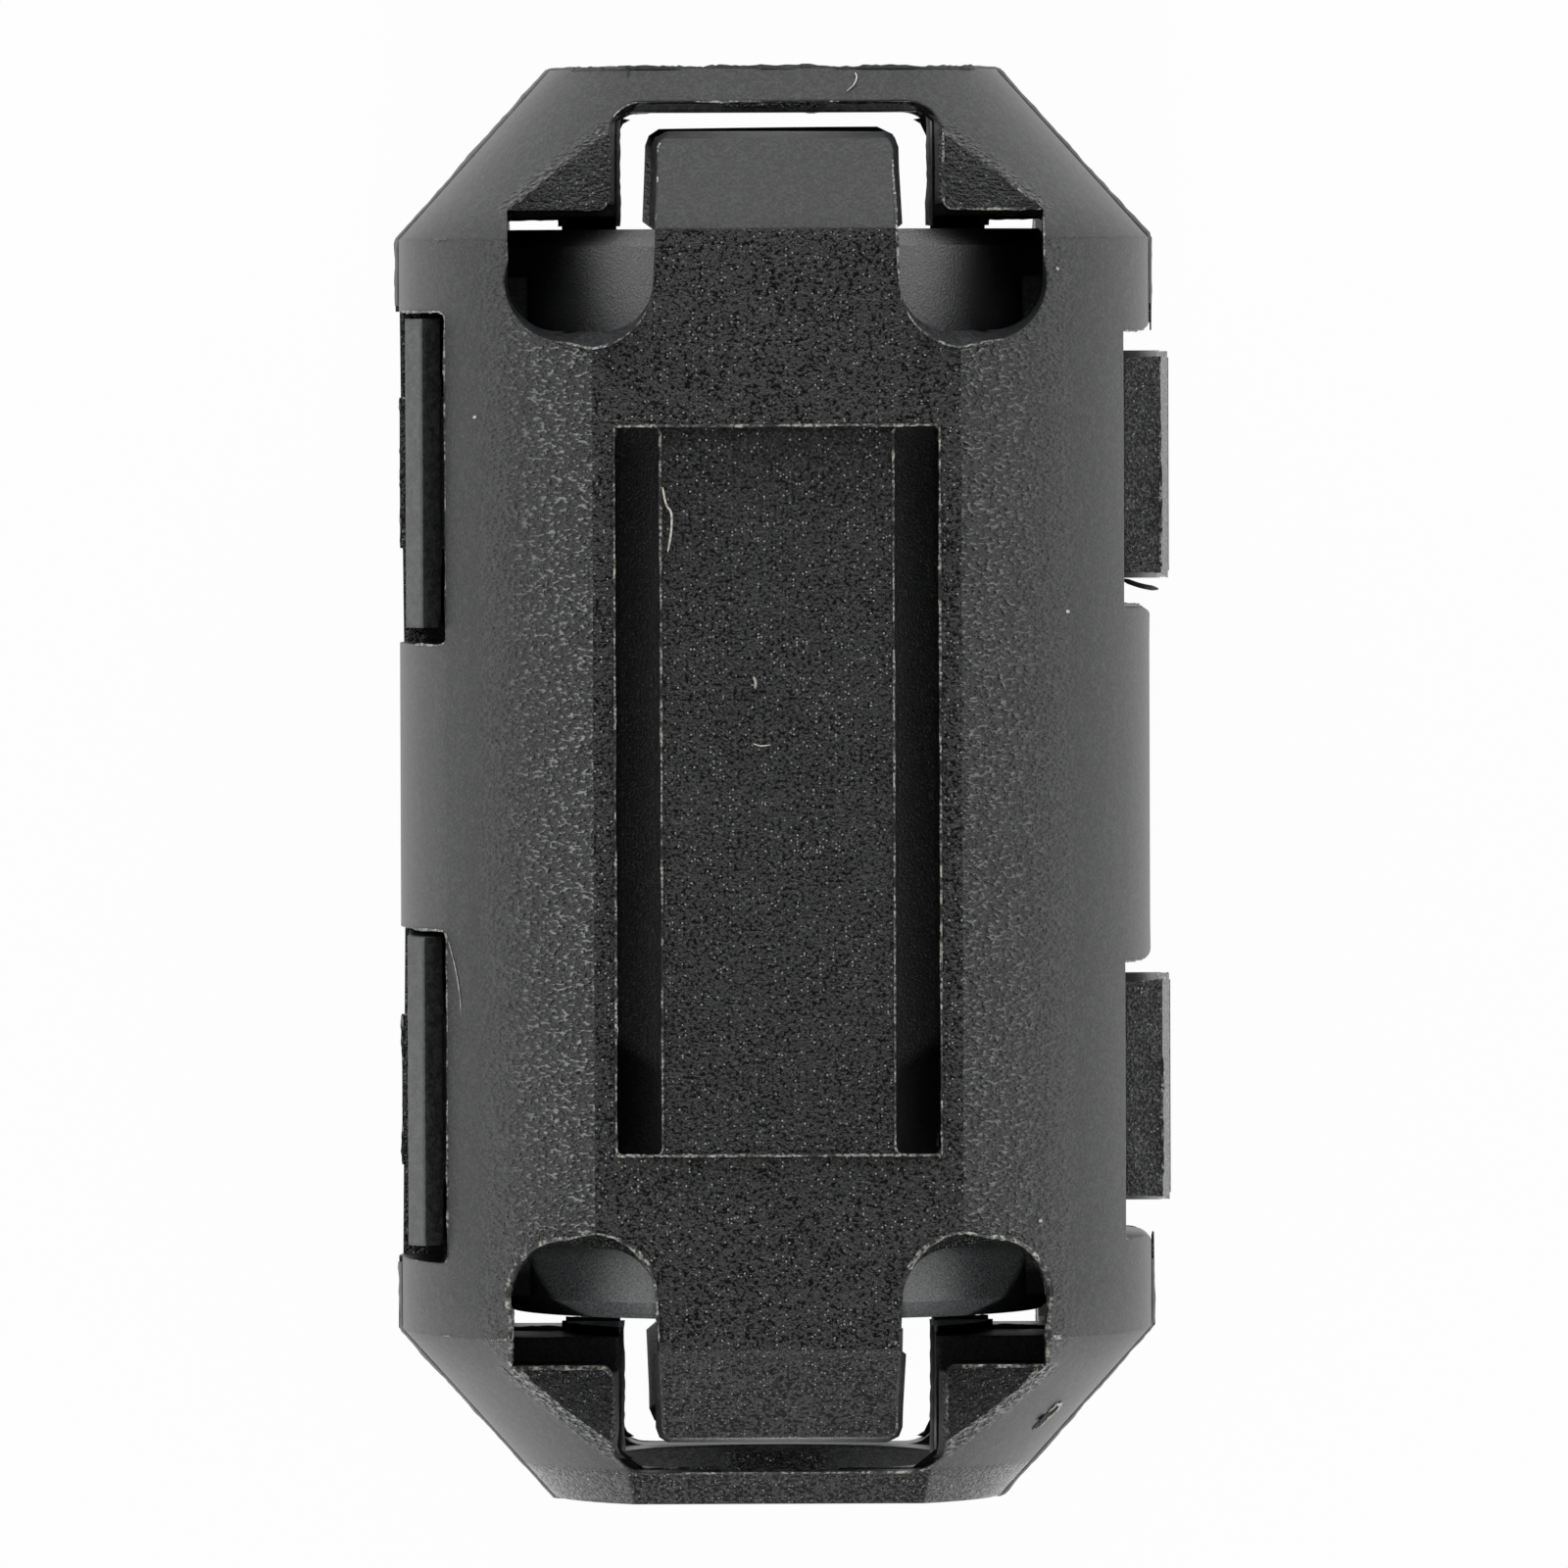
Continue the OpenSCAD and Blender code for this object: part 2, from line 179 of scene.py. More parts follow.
def noise(place, scale, detail=2.0, rough=0.5):
    """Soft noise with about so many humps to the millimetre."""
    return place.make("ShaderNodeTexNoise",
                      {"Vector": place, "Scale": scale, "Detail": detail, "Roughness": rough})


def flecks(place, scale, share, size):
    """Small round spots: 1 inside the few cells that have one, fading at their edge."""
    cell = place.make("ShaderNodeTexVoronoi", {"Vector": place, "Scale": scale})
    pick = cell.twin("Color").parts()[0]
    return cell.step(size, size * 0.6) * pick.step(share, share * 0.8)


def new_material(name, ior):
    material = bpy.data.materials.new(name)
    material.use_nodes = True
    shader = material.node_tree.nodes["Principled BSDF"]
    shader.inputs["IOR"].default_value = ior
    shader.inputs["Metallic"].default_value = 0.0
    return material, shader


# %% [markdown]
# ## Nylon
# The housing is moulded in a spark-eroded tool. Its level faces and its front slopes carry the full
# coarse grain. The flanks slid out of the mould, so their grain is drawn out along the pull and fades
# as they steepen. An image texture would repeat and stretch. Noises at a few sizes don't, and masks
# made of position and slope say where each of them lies.

# %% Where each grain lies
# Each pair is the start of a change and its end: in millimetres from the middle of the bead, or in
# parts of the normal, where 1 is a face that looks straight along that axis.
COARSE_HIGH = (4.6, 5.0)
END_RIM = (14.2, 14.35)
FRONT_SLOPE = (-0.60, -0.68)
LEVEL = (0.94, 0.975)
LEAF_ACROSS, LEAF_EDGE, LEAF_BEVEL = (7.3, 7.4), (8.0, 8.05), (0.5, 0.6)
FLANK, REAR_SLOPE = (0.58, 0.84), (0.5, 0.3)
FRINGE_HIGH, FRINGE_ALONG, FRINGE_TURN, FRINGE_ACROSS = (4.15, 4.75), (11.9, 12.2), (0.90, 0.85), (2.9, 3.1)
THROAT_ALONG, THROAT_ACROSS = (13.75, 13.85), (3.6, 3.4)


def grain_areas(place, normal, grain):
    """Masks of the coarse grain, the drawn grain and their special places."""
    tilt_x, tilt_y, tilt_z = normal.parts()
    across, along, high = (abs(part) for part in place.parts())
    steep = abs(tilt_z)
    top = high.step(*COARSE_HIGH).most(along.step(*END_RIM))
    front = tilt_y.step(*FRONT_SLOPE)
    leaf = across.step(*LEAF_ACROSS) * across.step(*LEAF_EDGE).most(steep.step(*LEAF_BEVEL))
    coarse = (steep.step(*LEVEL).most(front) * top).most(leaf * 0.8) * grain
    fringe = (high.step(*FRINGE_HIGH) * along.step(*FRINGE_ALONG) * steep.step(*FRINGE_TURN)
              * across.step(*FRINGE_ACROSS))
    flank = steep.step(*FLANK) * (1 - coarse) * tilt_y.step(*REAR_SLOPE)
    throat_end = along.step(*THROAT_ALONG) * across.step(*THROAT_ACROSS)
    drawn = flank.most(fringe * 0.9) * top.most(fringe) * (1 - throat_end) * grain
    return SimpleNamespace(coarse=coarse, drawn=drawn, leaf=leaf, fringe=fringe, front=front,
                           steep=steep, along=along, tilt_x=tilt_x, tilt_y=tilt_y)


# %% What the tool leaves
PULL = (0.55, 1.2, 0.55)


def tool_marks(place):
    """Noises as fine as the tool's craters and grains, and waves drawn out by the pull."""
    return SimpleNamespace(
        craters=noise(place, 13.0, 1.0, 0.6), grains=noise(place, 16.0, 2.0, 0.6),
        fine=noise(place, 28.0, 1.0, 0.5), waves=noise(place.times_each(*PULL), 13.0, 1.0, 0.5),
        mottle=noise(place, 5.0, 3.0, 0.6), drift=noise(place, 0.9, 2.0, 0.5) * 0.14 - 0.07,
        glint_noise=noise(place, 21.0, 0.0, 0.5))


# %% Relief of the nylon
# The edge between the barrel and the end slopes is rounded on the real housing, over ROUND each way
# of SHOULDER. The relief turns the light there as that rounding does.
SHOULDER = 11.45
ROUND = 0.9
SHOULDER_RISE = 0.19
RELIEF_DEPTH = 0.12
WAVE_DEPTH = 3.5
print("shoulder rounded from", SHOULDER - ROUND, "to", round(SHOULDER + ROUND, 2), "mm along")


def nylon_relief(marks, area, pits):
    """Height of the surface, in parts of RELIEF_DEPTH."""
    crust = area.coarse - pits
    height = (crust * 0.4 + (marks.grains - 0.5) * (crust * 1.8 + 0.05)
              + (marks.fine - 0.5) * (0.05 + crust * 0.3))
    height = height + (marks.waves - 0.5) * area.drawn * WAVE_DEPTH + (marks.mottle - 0.5) * 0.06
    past = (1 - abs(area.along - SHOULDER) / ROUND).most(0.0)
    return height - past * past * (ROUND * SHOULDER_RISE / RELIEF_DEPTH) * area.steep.step(0.93, 0.90)


# %% Colour of the nylon
# PIT_SHADE_BLACK is painted shade: the pits of the grain are painted near black where shade falls in them.
PIT_SHADE_BLACK = (0.0015, 0.0015, 0.0018, 1)
CRUST_BLACK = (0.033, 0.035, 0.039, 1)
# The grey is the pale tone of the painted highlights, of the painted sheen on the loops and of the mottle.
HIGHLIGHT_AND_MOTTLE_GREY = (0.49, 0.50, 0.50, 1)


def nylon_colour(place, marks, area, pits, grain, painted_sheen):
    """Black with mottle, painted shade in pits and hollows, painted glints on crests and flecks, and a
    painted sheen.
    """
    # Painted shade: the pits and the hollows of the drawn grain on the flanks are made darker here.
    tone = (marks.grains - 0.5) * 3.0 + 0.4 - pits * 1.4 - marks.waves.step(0.45, 0.35) * area.drawn * 0.8
    body = tone.step(0.0, 1.0).blend(PIT_SHADE_BLACK, CRUST_BLACK)
    # Painted glints: pale specks on the crust where its grains would catch the light.
    crust_glints = marks.glint_noise.step(0.60, 0.75) * (area.coarse - pits) * 0.12
    # Painted highlights: pale crests on the drawn grain, stronger on the left flank where more light falls,
    # and pale grains on the hinge leaves and along the front fringe by the ledges.
    lit_side = area.tilt_x.step(0.3, -0.3) * 0.30 + 0.40
    crest_glints = marks.waves.step(0.57, 0.66) * area.drawn * area.drawn * lit_side
    crest_glints = crest_glints + marks.grains.step(0.48, 0.62) * area.leaf * 0.20 * grain
    crest_glints = crest_glints + (marks.waves.step(0.50, 0.60) * area.fringe * area.tilt_y.step(-0.2, -0.4)
                       * grain * 0.45)
    # Painted glints, not dust: small pale flecks where single grains of the crust and flanks would catch the
    # light.
    dust_and_glints = flecks(place, 15.0, 0.15, 0.36) * (area.coarse + area.drawn * 0.4) * 0.9
    # Painted sheen on the loops: a lighter tone, strongest on their faces that look out towards -X, where
    # light falls on them; the mottle beside it is a random tone.
    sheen_and_mottle = ((area.tilt_x.step(-0.5, -0.7) * 0.7 + 0.3) * painted_sheen
           + (marks.mottle.step(0.40, 0.62) - 0.5) * 0.05)
    return (crust_glints + crest_glints + dust_and_glints + sheen_and_mottle).least(1.0).blend(body, HIGHLIGHT_AND_MOTTLE_GREY)


# %% The nylon itself
# Grained nylon for the shells, and a plain kind for the loops, which have no grain and a painted sheen.
NYLON_IOR = 1.53


def nylon(name="nylon", grain=1.0, edge_radius=0.10 * MM, painted_sheen=0.0):
    material, shader = new_material(name, NYLON_IOR)
    tree = material.node_tree
    place, normal = patterns(material)
    area = grain_areas(place, normal, grain)
    marks = tool_marks(place)
    # The pits are painted shade in the colour as well as hollows in the relief, and the front slopes get
    # more of them, which paints those slopes darker.
    pits = (marks.craters + marks.drift - area.front * 0.06).step(0.52, 0.41) * area.coarse
    rounded = place.make("ShaderNodeBevel", {"Radius": edge_radius}, samples=4)
    feed(tree, shader.inputs["Normal"], place.make("ShaderNodeBump", {
        "Height": nylon_relief(marks, area, pits), "Normal": rounded,
        "Strength": 1.0, "Distance": RELIEF_DEPTH * MM}))
    feed(tree, shader.inputs["Base Color"], nylon_colour(place, marks, area, pits, grain, painted_sheen))
    feed(tree, shader.inputs["Roughness"], 0.44 - area.coarse * 0.20 - area.drawn * 0.20)
    print(name, "shader nodes", len(tree.nodes))
    return material


NYLON = nylon()
PLAIN_NYLON = nylon("nylon_plain", grain=0.0, edge_radius=0.20 * MM, painted_sheen=0.18)

# %% [markdown]
# ## Ferrite
# The cores are sintered and then ground, so they are darker and smoother than the nylon and glint
# here and there. Their ends show in the windows, and look paler there, most of all at the front.
# A light aimed at them would brighten the nylon too, so the paleness is painted light: a soft noise in their
# colour, which a mask keeps to the parts that show.

# %% Ferrite
FERRITE_IOR = 2.5
BARE_ALONG, BARE_ACROSS, BARE_HIGH = (9.2, 9.9), (2.4, 2.7), (1.8, 2.6)
FRONT_BARE = (-9.2, -9.9)
FERRITE_DARK = (0.001, 0.0012, 0.0015, 1)
FERRITE_BODY = (0.005, 0.0055, 0.007, 1)
FERRITE_PALE = (0.45, 0.47, 0.48, 1)


def ferrite():
    material, shader = new_material("ferrite", FERRITE_IOR)
    tree = material.node_tree
    place, _ = patterns(material)
    across, along, high = (abs(part) for part in place.parts())
    front = place.parts()[1].step(*FRONT_BARE)
    bare = along.step(*BARE_ALONG) * across.step(*BARE_ACROSS) * high.step(*BARE_HIGH)
    sinter = noise(place, 18.0, 3.0, 0.7)
    cloud = noise(place, 0.6, 2.0, 0.5)
    bump = place.make("ShaderNodeBump", {"Height": sinter, "Strength": 1.0, "Distance": 0.02 * MM})
    feed(tree, shader.inputs["Normal"], bump)
    body = (cloud + sinter - 0.5).step(0.2, 0.8).blend(FERRITE_DARK, FERRITE_BODY)
    glints = flecks(place, 13.0, 0.25, 0.42)
    # Painted highlight on the core ends that show in the windows, strongest at the front.
    painted_highlight = noise(place, 30.0, 2.0, 0.6).step(0.3, 0.7) * bare * (front * 0.42 + 0.06)
    feed(tree, shader.inputs["Base Color"], (glints * 0.1 + painted_highlight).blend(body, FERRITE_PALE))
    feed(tree, shader.inputs["Roughness"], 0.40 + (sinter - 0.5) * 0.4)
    print("ferrite shader nodes", len(tree.nodes))
    return material


FERRITE = ferrite()

# %% [markdown]
# ## Finishes onto the solids
# The shells, the loops and the cores keep the frame's own meshes, so their shapes stay as they are
# and only the material changes. The two films get meshes of their own in the next step.

# %% Finishes onto the solids
def finish_node(name, material):
    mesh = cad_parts[name].data
    mesh.materials.clear()
    mesh.materials.append(material)
    for face in mesh.polygons:
        face.material_index = 0
    print(name, "is", material.name)


for part in ("upper_shell", "lower_shell"):
    finish_node(part, NYLON)
for part in ("front_latch", "rear_latch"):
    finish_node(part, PLAIN_NYLON)
for part in ("upper_core", "lower_core"):
    finish_node(part, FERRITE)

# %% [markdown]
# ## Hinge films
# On the real housing each film is a web of nylon thin enough to fold thousands of times. It is one strip,
# bent double while the bead is shut. In place of the frame's stiff solid, which is hidden, a mesh of that
# strip is built with enough rows to bend smoothly. The helpers here also make every later sliver: a closed
# skin through a list of sections.

# %% Closed skins through sections
def mesh_object(name, vertices, faces, material):
    mesh = bpy.data.meshes.new(name)
    mesh.from_pydata(vertices, [], faces)
    solid = bmesh.new()
    solid.from_mesh(mesh)
    bmesh.ops.recalc_face_normals(solid, faces=solid.faces)
    solid.to_mesh(mesh)
    solid.free()
    mesh.materials.append(material)
    piece = bpy.data.objects.new(name, mesh)
    scene.collection.objects.link(piece)
    return piece


class Slivers:
    """Small closed pieces gathered for one mesh."""

    def __init__(self):
        self.vertices, self.faces, self.count = [], [], 0

    def add(self, sections):
        """A closed skin through sections with the same number of corners."""
        first, corners = len(self.vertices), len(sections[0])
        for i in range(len(sections) - 1):
            for k in range(corners):
                a = first + i * corners + k
                b = first + i * corners + (k + 1) % corners
                self.faces.append((a, b, b + corners, a + corners))
        last = first + (len(sections) - 1) * corners
        self.faces += [tuple(range(first, first + corners)), tuple(range(last, last + corners))]
        self.vertices += [corner for section in sections for corner in section]
        self.count += 1

    def mesh(self, name, material):
        return mesh_object(name, self.vertices, self.faces, material)


def swept(name, sections, material, smooth=True):
    """One closed skin as a piece of its own."""
    skin = Slivers()
    skin.add(sections)
    piece = skin.mesh(name, material)
    for face in piece.data.polygons:
        face.use_smooth = smooth and len(face.vertices) == 4
    return piece


# %% Hinge films
# The strip is a half ring, tucked a little way into both leaves, and swept along the hinge in rows.
FILM = 0.15 * MM
TUCK = 0.12 * MM
ARC_STEPS = 28
FILM_ROWS = 14
for part in ("front_hinge_film", "rear_hinge_film"):
    low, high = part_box(part)
    outer = (high.z - low.z) / 2
    centre_x = high.x - outer
    inner = outer - FILM
    turns = [math.radians(-90 + 180 * i / ARC_STEPS) for i in range(ARC_STEPS + 1)]
    ring = [(centre_x - TUCK, -outer)]
    ring += [(centre_x + outer * math.cos(t), outer * math.sin(t)) for t in turns]
    ring += [(centre_x - TUCK, outer), (centre_x - TUCK, inner)]
    ring += [(centre_x + inner * math.cos(t), inner * math.sin(t)) for t in reversed(turns)]
    ring += [(centre_x - TUCK, -inner)]
    sections = [[(x, low.y + (high.y - low.y) * r / FILM_ROWS, z) for x, z in ring]
                for r in range(FILM_ROWS + 1)]
    film = swept(part + "_strip", sections, NYLON)
    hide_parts(part)
    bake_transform(film)
    print(film.name, "faces", len(film.data.polygons))

# %% [markdown]
# ## Latch roots
# Each loop grows out of its pocket's floor, and its root bends. The loop itself turns as a stiff piece, so a
# gap could open under it. A short web hidden in the root reaches from the lower half to the loop and keeps
# the nylon whole there.

# %% Latch roots
WEB_INSET = 0.02 * MM
WEB_FOOT = 0.12 * MM
WEB_PITCH = 0.03 * MM
WEB_LEVELS = 13
for part in ("front_latch", "rear_latch"):
    low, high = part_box(part)
    root = low.z
    inside, outside = high.x - WEB_INSET, low.x + WEB_INSET
    sections = [[(outside, low.y + WEB_INSET, z), (inside, low.y + WEB_INSET, z),
                 (inside, high.y - WEB_INSET, z), (outside, high.y - WEB_INSET, z)]
                for z in (root - WEB_FOOT + WEB_PITCH * i for i in range(WEB_LEVELS))]
    web = swept(part + "_root", sections, NYLON, smooth=False)
    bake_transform(web)
    print(web.name, "faces", len(web.data.polygons))

# %% [markdown]
# ## Moulding flash
# Nylon creeps a little way into the joints of its mould, so every cut edge of the housing carries a
# thin ragged lip, paler where it was rubbed. The lips could be a texture, but they also break the
# outline and catch the light, so they are real: the sharp outer edges are read from the housing's
# own mesh, joined into lines, and each gets a bead whose height wanders.

# %% Finding the sharp edges
WELD = 0.0005 * MM
STRAIGHT_ON = 0.2


def edge_out(edge):
    """The direction between an edge's two faces, away from the solid."""
    return (edge.link_faces[0].normal + edge.link_faces[1].normal).normalized()


def sharp_lines(node, least_turn, wanted):
    """Lines of points along a node's sharp convex edges, each point with its outward direction."""
    mesh = bmesh.new()
    mesh.from_mesh(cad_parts[node].data)
    bmesh.ops.remove_doubles(mesh, verts=mesh.verts, dist=WELD)
    mesh.normal_update()
    chosen = []
    for edge in mesh.edges:
        if len(edge.link_faces) != 2 or not edge.is_convex or edge.calc_face_angle(0) < least_turn:
            continue
        middle = (edge.verts[0].co + edge.verts[1].co) / 2
        if wanted(middle / MM, edge_out(edge)):
            chosen.append(edge)
    left = dict.fromkeys(sorted(chosen, key=lambda edge: edge.index))
    lines = []
    while left:
        lines.append(line_from(next(iter(left)), left))
    mesh.free()
    return lines


# %% Joining edges into a line
def straightness(edge, tip, run):
    """1 for an edge that leaves the tip straight ahead, -1 for one that turns back."""
    return (edge.other_vert(tip).co - tip.co).normalized().dot(run)


def line_from(start, left):
    """The line through an edge, both ways, over those that are left. It takes them out."""
    del left[start]
    line = [start.verts[0], start.verts[1]]
    outward = {point: edge_out(start) for point in line}
    for end in (False, True):
        while True:
            tip, back = (line[-1], line[-2]) if end else (line[0], line[1])
            run = (tip.co - back.co).normalized()
            following = [e for e in tip.link_edges if e in left and straightness(e, tip, run) > STRAIGHT_ON]
            if not following:
                break
            edge = max(following, key=lambda e: straightness(e, tip, run))
            del left[edge]
            point = edge.other_vert(tip)
            outward.setdefault(point, edge_out(edge))
            line.insert(len(line) if end else 0, point)
    return [(point.co.copy(), outward[point].copy()) for point in line]


def even_steps(line, gap):
    """The same line with its points a set gap apart."""
    points = [line[0]]
    ahead = gap
    for (a, out_a), (b, out_b) in zip(line, line[1:]):
        length = (b - a).length
        while ahead < length:
            t = ahead / length
            points.append((a.lerp(b, t), out_a.lerp(out_b, t).normalized()))
            ahead += gap
        ahead -= length
    points.append(line[-1])
    return points


# %% Ragged beads
# The height is a slow wander times a quick flicker. Where it falls under CLEAN the edge stays bare,
# and the bead ends there with a small tip.
draws = random.Random(11)
WANDER = 0.22
CLEAN = 0.08
TIP = 0.3
BEAD_LEAN = 0.3


def ragged_bead(slivers, lines, height, width, gap, chance, level_out=False):
    """Beads along lines. A higher chance leaves fewer clean places."""
    for line in lines:
        points = even_steps(line, gap)
        wander, level = draws.random(), draws.random()
        run = []
        for i, (place, out) in enumerate(points):
            wander = min(max(wander + draws.uniform(-WANDER, WANDER), 0.0), 1.0)
            level = 0.6 * level + 0.4 * draws.random()
            tall = max(wander - (1 - chance), 0.0) / chance * (0.4 + 1.2 * level)
            if tall > CLEAN and i < len(points) - 1:
                along = (points[i + 1][0] - place).normalized()
                if level_out:
                    out = Vector((out.x, out.y, 0)).normalized()
                run.append((place, out, along.cross(out), tall))
                continue
            if len(run) > 2:
                slivers.add(bead(run, height, width))
            run = []


def bead(run, height, width):
    """Sections of one bead: two sides on the surface, a crest, and a root inside the nylon."""
    sections = []
    for k, (place, out, side, tall) in enumerate(run):
        end = TIP if k in (0, len(run) - 1) else 1.0
        reach = height * tall * end
        half = width * (0.6 + 0.4 * tall) * end
        lean = side * draws.uniform(-BEAD_LEAN, BEAD_LEAN) * reach
        foot = place - out * width * 0.4
        sections.append([foot + side * half, place + out * reach + lean, foot - side * half,
                         place - out * width])
    return sections



# %% The finish of flash
def flash_finish():
    """Nylon that was scuffed or stretched white in places."""
    material, shader = new_material("nylon_flash", NYLON_IOR)
    place, _ = patterns(material)
    patch = noise(place, 3.0, 2.0, 0.6).step(0.38, 0.62)
    speck = noise(place, 14.0, 1.0, 0.6).step(0.35, 0.65)
    body = (patch * speck).blend((0.02, 0.02, 0.021, 1), (0.50, 0.49, 0.45, 1))
    feed(place.tree, shader.inputs["Base Color"], body)
    feed(place.tree, shader.inputs["Roughness"], 0.5 - speck * 0.15)
    print(material.name, "shader nodes", len(place.tree.nodes))
    return material


FLASH = flash_finish()

# %% Flash on both halves
# Lengths here are in millimetres. The stepped field between the slots keeps nearly all of its flash.
TOP = 4.6
BARREL = 7.2
END_FACE = 14.0
OFF_PARTING = 0.35
AT_SHOULDER = 0.05
STEP_Z, STEP_ACROSS, STEP_ALONG = 6.8, 3.8, 8.5
SHARP = math.radians(50)


def on_outside(middle, out, half):
    """Whether an edge is on the housing's outside, and not the soft one at a shoulder."""
    high = middle.z * half
    at_shoulder = abs(abs(middle.y) - SHOULDER) < AT_SHOULDER and abs(out.y) > 0.2
    if high < OFF_PARTING or out.z * half < 0.1 or at_shoulder:
        return False
    return high > TOP or math.hypot(middle.x, middle.z) > BARREL or abs(middle.y) > END_FACE


def at_step(line):
    """Whether a whole line frames the stepped field."""
    return all(abs(place.z) > STEP_Z * MM and abs(place.x) < STEP_ACROSS * MM
               and abs(place.y) < STEP_ALONG * MM for place, _ in line)


for half, node in ((1, "upper_shell"), (-1, "lower_shell")):
    lines = sharp_lines(node, SHARP, lambda middle, out: on_outside(middle, out, half))
    beads = Slivers()
    ragged_bead(beads, [line for line in lines if not at_step(line)],
                height=0.04 * MM, width=0.03 * MM, gap=0.07 * MM, chance=0.8)
    ragged_bead(beads, [line for line in lines if at_step(line)],
                height=0.04 * MM, width=0.032 * MM, gap=0.07 * MM, chance=1.4)
    flash = beads.mesh(node.replace("shell", "flash"), FLASH)
    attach(flash, node.replace("shell", "half"))
    print(flash.name, "lines", len(lines), "beads", beads.count, "faces", len(beads.faces))

# %% [markdown]
# ## Flash on the parting line and on one end
# Where the two halves of the mould met, a feather of nylon fills the corner between the lip of the
# lower half and the wall above it, and the rear end's rim carries a thicker ragged lip. The feather
# is a strip of triangular section with a ragged outer edge, because a bead would stand off the corner.

# %% Flash on the parting line
FEATHER_ROOT = 0.03 * MM


def feather(slivers, lines, height, reach, gap, stop):
    """Strips along lines, from the distance stop along the bead outwards."""
    for line in lines:
        points = [(place, out) for place, out in even_steps(line, gap) if abs(place.y) > stop]
        if len(points) < 2:
            continue
        width = 0.5
        sections = []
        for place, out in points:
            width = 0.6 * width + 0.4 * draws.random()
            level = Vector((out.x, out.y, 0)).normalized()
            sections.append([place - level * FEATHER_ROOT, place + level * reach * (0.6 + 0.8 * width),
                             place + Vector((0, 0, height)) - level * FEATHER_ROOT])
        slivers.add(sections)


def at_parting(middle, out):
    return abs(middle.z) < 0.12 and abs(middle.y) > 10.1 and math.hypot(middle.x, middle.y) > 11.4


def at_end(middle, out):
    return middle.y > 14.7 and middle.z > 2.0 and abs(middle.x) < 6.0


strips = Slivers()
feather(strips, sharp_lines("upper_shell", math.radians(25), at_parting),
        height=0.30 * MM, reach=0.085 * MM, gap=0.12 * MM, stop=9.95 * MM)
parting = strips.mesh("parting_flash", PLAIN_NYLON)
beads = Slivers()
ragged_bead(beads, sharp_lines("upper_shell", math.radians(25), at_end),
            height=0.08 * MM, width=0.04 * MM, gap=0.09 * MM, chance=0.9, level_out=True)
rim = beads.mesh("end_flash", PLAIN_NYLON)
for ragged in (parting, rim):
    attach(ragged, "upper_half")
    print(ragged.name, "faces", len(ragged.data.polygons))

# %% [markdown]
# ## Flash round the openings
# The latch pockets and the two front windows have lips of their own, finer at the pockets and
# broader at the windows. Some of their edges turn less sharply than the ones above, so they are
# asked for by place, and get beads that hardly ever drop out.

# %% Flash round the pockets and the front windows
def at_pocket(middle, out):
    return -6.96 < middle.x < -6.84 and middle.z > 2.0


def at_window(middle, out):
    return 2.7 < abs(middle.x) < 6.0 and -12.3 < middle.y < -9.3 and middle.z > 4.0 and out.z > 0.3


beads = Slivers()
ragged_bead(beads, sharp_lines("upper_shell", math.radians(15), at_pocket),
            height=0.035 * MM, width=0.022 * MM, gap=0.07 * MM, chance=1.3)
# The broad pale lips at the front windows are partly painted highlight: besides flash, they stand for the
# glint along each window's rounded rim.
ragged_bead(beads, sharp_lines("upper_shell", math.radians(40), at_window),
            height=0.03 * MM, width=0.075 * MM, gap=0.06 * MM, chance=1.5)
opening = beads.mesh("opening_flash", FLASH)
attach(opening, "upper_half")
print("opening_flash beads", beads.count)

# %% [markdown]
# ## Draft on the tongues
# Walls that stand in the mould lean a few degrees, or the part would not come out. Seen from above
# the lean shows as a dark band round each tongue and inside its throat. The band is a thin wedge
# under the edge, built from the same edge lines, because the solid's own walls stand upright there.

# %% Draft wedges
WEDGE_GAP = 0.25 * MM
WEDGE_INSET = 0.03 * MM
WEDGE_DEEP = 0.75 * MM
UPPER_LEAN, LOWER_LEAN, THROAT_LEAN = 0.16 * MM, 0.30 * MM, 0.16 * MM
TONGUE_TURN = math.radians(18)
CREST = 3.4


def wedges(slivers, lines, lean):
    """Wedges hanging under lines of edge, which lean outward as they go down."""
    for line in lines:
        sections = []
        for place, out in even_steps(line, WEDGE_GAP):
            down = Vector((0, 0, -1 if place.z > 0 else 1))
            flat_out = Vector((out.x, out.y, 0)).normalized()
            start = place + down * WEDGE_INSET
            sections.append([start - flat_out * WEDGE_INSET, start,
                             start + down * WEDGE_DEEP + flat_out * lean,
                             start + down * WEDGE_DEEP - flat_out * WEDGE_INSET])
        slivers.add(sections)


def on_crest(middle, out, half):
    return middle.z * half > CREST and out.z * half > 0.2


def round_tongue(middle, out, half):
    wide, along = abs(middle.x), abs(middle.y)
    on_side = 1.5 < wide < 2.75 and 11.7 < along < 13.9
    on_tip = wide < 2.6 and 13.35 < along < 13.9
    return on_crest(middle, out, half) and (on_side or on_tip)


def in_throat(middle, out, half):
    inside = 2.9 < abs(middle.x) < 3.6 and 12.2 < abs(middle.y) < 14.0
    return on_crest(middle, out, half) and inside and abs(out.x) > 0.5


